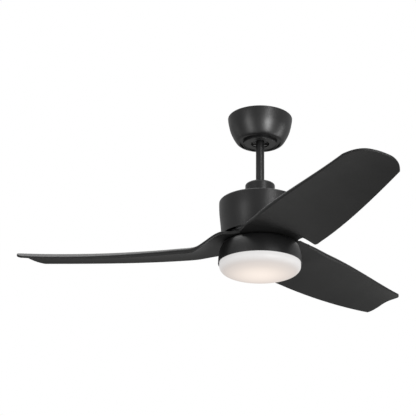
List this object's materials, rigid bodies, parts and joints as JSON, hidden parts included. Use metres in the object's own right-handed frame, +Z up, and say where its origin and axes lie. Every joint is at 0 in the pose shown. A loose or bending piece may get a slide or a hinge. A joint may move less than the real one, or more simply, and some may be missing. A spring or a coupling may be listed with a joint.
{
  "type": "ceiling fan with light",
  "caption": "Ceiling fan in satin black with curved swept blades, a short downrod and a round opal LED light.",
  "frame": {"origin": "on the fan's axis, in the ceiling plane that the bracket lies against", "axes": "+Z up along the fan's axis; one blade points along -X"},
  "size_m": [1.0003, 1.0755, 0.4215],
  "materials": {
    "satin_black": "satin",
    "blade_black": "matt",
    "opal": "satin opal, lit",
    "zinc_steel": "zinc plated",
    "green_screw": "satin",
    "black_steel": "black oxide",
    "case_plastic": "moulded",
    "circuit_board": "solder mask",
    "component_black": "moulded",
    "lead_jacket": "satin",
    "nylon_white": "moulded",
    "cast_zinc": "as cast",
    "shaft_steel": "ground",
    "lamination_steel": "laminated",
    "copper_wire": "enamelled",
    "bearing_steel": "polished",
    "cast_aluminium": "as cast",
    "magnet": "sintered",
    "gasket_rubber": "matt",
    "board_white": "white solder mask",
    "led_phosphor": "silicone"
  },
  "bodies": {
    "ceiling_mount": {"ceiling_bracket": "zinc_steel", "canopy": "satin_black", "canopy_cover": "satin_black", "canopy_screws": "zinc_steel", "ground_screw": "green_screw", "receiver_case": "case_plastic", "receiver_lid": "case_plastic", "receiver_board": "circuit_board"},
    "hanging_frame": {"hanger_ball": "case_plastic", "ball_cross_pin": "zinc_steel", "ball_set_screw": "zinc_steel", "downrod": "satin_black", "lead_cable": "lead_jacket", "lead_plug": "nylon_white", "coupling_cover": "satin_black", "motor_yoke": "cast_zinc", "clevis_pin": "zinc_steel", "hitch_pin": "zinc_steel", "yoke_set_screws": "zinc_steel", "yoke_lock_nuts": "zinc_steel", "motor_shaft": "shaft_steel", "housing_plate": "zinc_steel", "motor_housing": "satin_black", "housing_screws": "zinc_steel", "control_board": "circuit_board", "board_components": "component_black", "board_standoffs": "zinc_steel", "stator_core": "lamination_steel", "stator_insulators": "nylon_white", "stator_windings": "copper_wire", "upper_bearing_inner_ring": "bearing_steel", "lower_bearing_inner_ring": "bearing_steel", "light_mounting_plate": "zinc_steel", "shaft_nut": "zinc_steel", "light_housing": "satin_black", "light_housing_screws": "zinc_steel", "light_posts": "zinc_steel", "led_driver": "case_plastic", "heat_sink": "cast_aluminium", "led_board": "board_white", "led_chips": "led_phosphor", "led_board_screws": "zinc_steel"},
    "rotor": {"rotor_top_cap": "cast_aluminium", "rotor_bottom_cap": "cast_aluminium", "rotor_ring": "lamination_steel", "rotor_magnets": "magnet", "rotor_screws": "zinc_steel", "upper_bearing_outer_ring": "bearing_steel", "lower_bearing_outer_ring": "bearing_steel", "blade_gaskets": "gasket_rubber", "blade_1": "blade_black", "blade_2": "blade_black", "blade_3": "blade_black", "blade_screws": "black_steel"},
    "bearing_cages": {"upper_bearing_balls": "bearing_steel", "lower_bearing_balls": "bearing_steel", "upper_bearing_cage": "nylon_white", "lower_bearing_cage": "nylon_white"},
    "diffuser": {"diffuser": "opal"}
  },
  "joints": [
    {"name": "ball_swing", "type": "hinge", "parent": "ceiling_mount", "child": "hanging_frame", "pos_m": [0, 0, -0.042], "axis": [1, 0, 0], "range_deg": [-15, 15]},
    {"name": "rotor_spin", "type": "hinge", "parent": "hanging_frame", "child": "rotor", "pos_m": [0, 0, -0.287], "axis": [0, 0, 1], "continuous": true},
    {"name": "cage_spin", "type": "hinge", "parent": "hanging_frame", "child": "bearing_cages", "pos_m": [0, 0, -0.287], "axis": [0, 0, 1], "continuous": true},
    {"name": "diffuser_twist", "type": "hinge", "parent": "hanging_frame", "child": "diffuser", "pos_m": [0, 0, -0.3915], "axis": [0, 0, -1], "range_deg": [0, 15]}
  ],
  "couplings": [
    {"joint": "cage_spin", "follows": "rotor_spin", "ratio": 0.6175}
  ]
}
